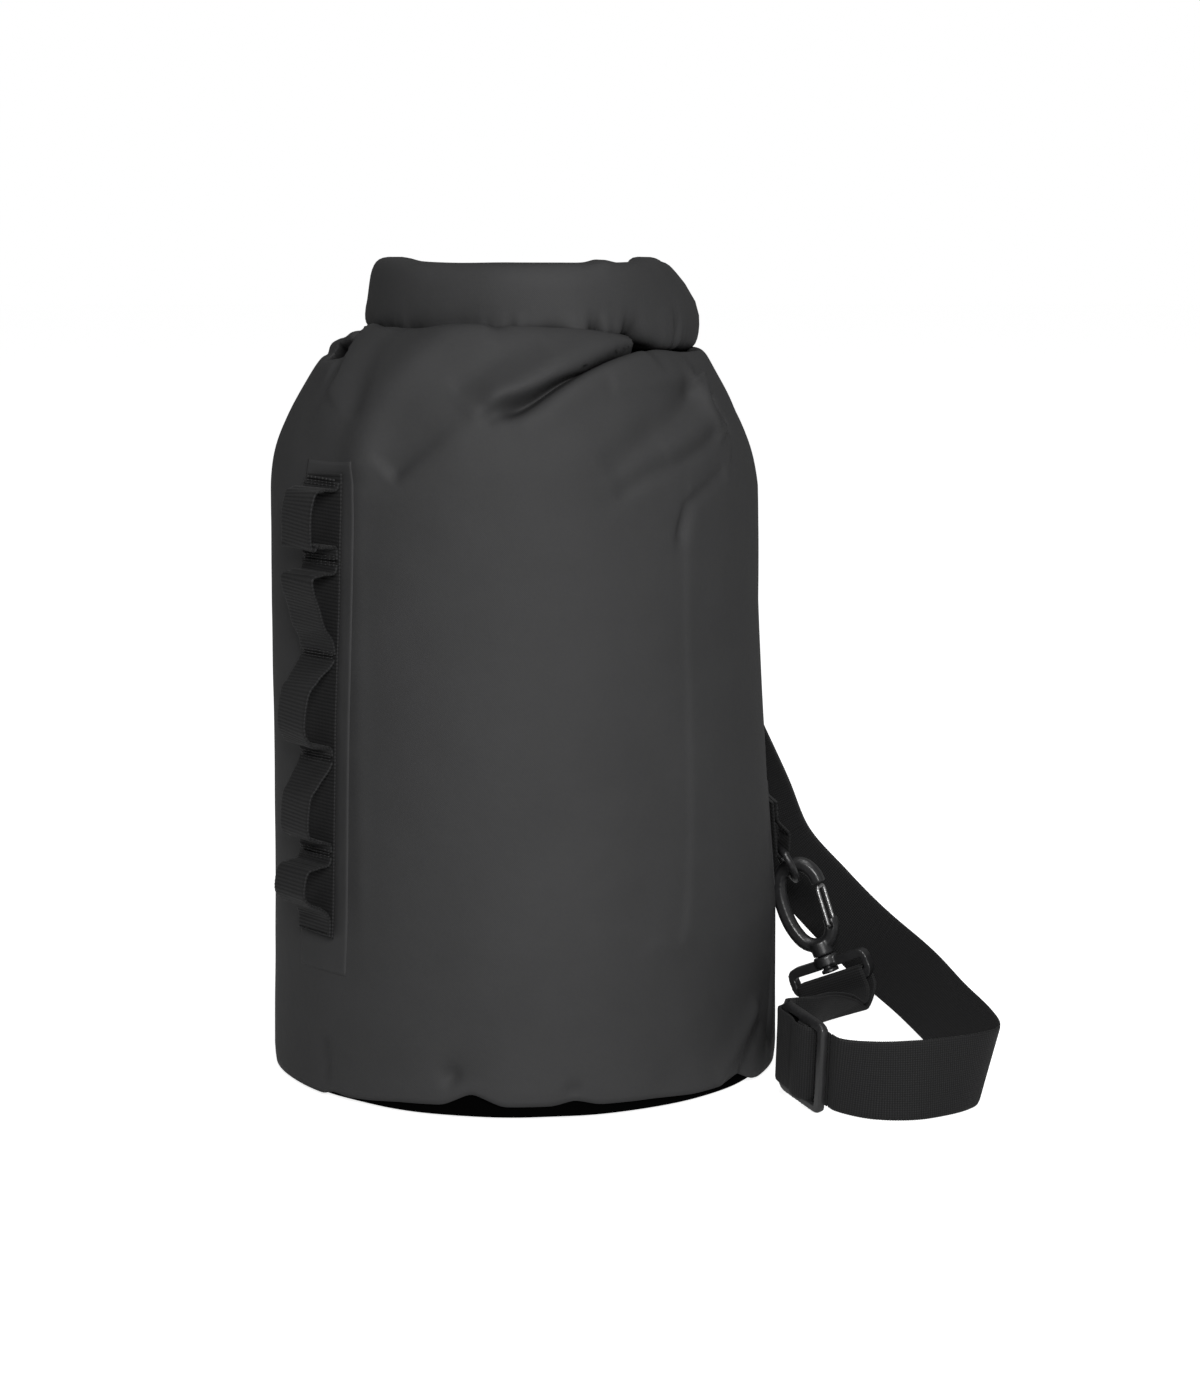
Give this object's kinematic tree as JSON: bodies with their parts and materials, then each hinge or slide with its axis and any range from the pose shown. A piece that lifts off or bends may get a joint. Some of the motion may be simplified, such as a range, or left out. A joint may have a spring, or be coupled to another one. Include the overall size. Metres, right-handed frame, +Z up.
{
  "type": "roll-top rope storage bag",
  "caption": "Roll-top coated-fabric rope bag on a round base, with a buckled roll, a side daisy chain and a shoulder strap on swivel snap hooks.",
  "frame": {"origin": "centre of the bag's round base, on the surface that it stands on", "axes": "+Z up along the bag, -Y towards its front, +X towards the side with the strap and the lower ring"},
  "size_m": [0.3524, 0.2496, 0.3945],
  "materials": {
    "coated_fabric": "matte charcoal PVC-coated cloth, welded",
    "base_fabric": "black heavy coated cloth",
    "webbing": "black ribbed polyester webbing",
    "moulded_plastic": "black acetal with a soft gloss",
    "gate_wire": "bright stainless wire",
    "stiffener_strip": "natural plastic strip"
  },
  "bodies": {
    "root": {"side_wall": "coated_fabric", "roll_top": "coated_fabric", "daisy_patch": "coated_fabric", "lower_ring_patch": "coated_fabric", "upper_ring_patch": "coated_fabric", "base_panel": "base_fabric", "buckle_tab_left": "webbing", "buckle_tab_right": "webbing", "daisy_backing": "webbing", "daisy_loop_1": "webbing", "daisy_loop_2": "webbing", "daisy_loop_3": "webbing", "daisy_loop_4": "webbing", "daisy_loop_5": "webbing", "lower_ring_tab": "webbing", "upper_ring_tab": "webbing", "shoulder_strap": "webbing", "adjuster_loop": "webbing", "buckle_female": "moulded_plastic", "buckle_male": "moulded_plastic", "lower_hook_eye": "moulded_plastic", "upper_hook_eye": "moulded_plastic", "tri_glide": "moulded_plastic", "mouth_stiffener": "stiffener_strip"},
    "lower_ring": {"lower_ring": "moulded_plastic"},
    "lower_hook": {"lower_hook_body": "moulded_plastic"},
    "lower_gate": {"lower_hook_gate": "gate_wire"},
    "upper_ring": {"upper_ring": "moulded_plastic"},
    "upper_hook": {"upper_hook_body": "moulded_plastic"},
    "upper_gate": {"upper_hook_gate": "gate_wire"},
    "buckle_arm_top": {"buckle_arm_top": "moulded_plastic"},
    "buckle_arm_bottom": {"buckle_arm_bottom": "moulded_plastic"}
  },
  "joints": [
    {"name": "lower_ring_swing", "type": "hinge", "parent": "root", "child": "lower_ring", "pos_m": [0.1268, 0.02008, 0.101], "axis": [-0.1564, 0.9877, 0], "range_deg": [-4, 0]},
    {"name": "lower_hook_swivel", "type": "hinge", "parent": "root", "child": "lower_hook", "pos_m": [0.14978, 0.01544, 0.04784], "axis": [-0.3603, 0.1501, 0.9207], "range_deg": [0, 48]},
    {"name": "lower_gate_open", "type": "hinge", "parent": "lower_hook", "child": "lower_gate", "pos_m": [0.15363, 0.01412, 0.06259], "axis": [-0.361, -0.9325, 0.0108], "range_deg": [0, 28], "stiffness_Nm_per_rad": 0.03, "springref_deg": -5.73},
    {"name": "upper_ring_swing", "type": "hinge", "parent": "root", "child": "upper_ring", "pos_m": [0.07943, 0.09466, 0.273], "axis": [-0.766, 0.6428, 0], "range_deg": [-4, 4]},
    {"name": "upper_hook_swivel", "type": "hinge", "parent": "root", "child": "upper_hook", "pos_m": [0.09191, 0.09974, 0.21933], "axis": [-0.1209, 0.1008, 0.9875], "range_deg": [-20, 26]},
    {"name": "upper_gate_open", "type": "hinge", "parent": "upper_hook", "child": "upper_gate", "pos_m": [0.09692, 0.10791, 0.23126], "axis": [0.7226, -0.6731, 0.1572], "range_deg": [0, 28], "stiffness_Nm_per_rad": 0.03, "springref_deg": -5.73},
    {"name": "buckle_squeeze_top", "type": "hinge", "parent": "root", "child": "buckle_arm_top", "pos_m": [0.013, 0.077, 0.3808], "axis": [0, -1, 0], "range_deg": [0, 10], "stiffness_Nm_per_rad": 0.3},
    {"name": "buckle_squeeze_bottom", "type": "hinge", "parent": "root", "child": "buckle_arm_bottom", "pos_m": [0.013, 0.077, 0.3592], "axis": [0, 1, 0], "range_deg": [0, 10], "stiffness_Nm_per_rad": 0.3}
  ],
  "couplings": [
    {"joint": "buckle_squeeze_bottom", "follows": "buckle_squeeze_top", "ratio": 1}
  ]
}
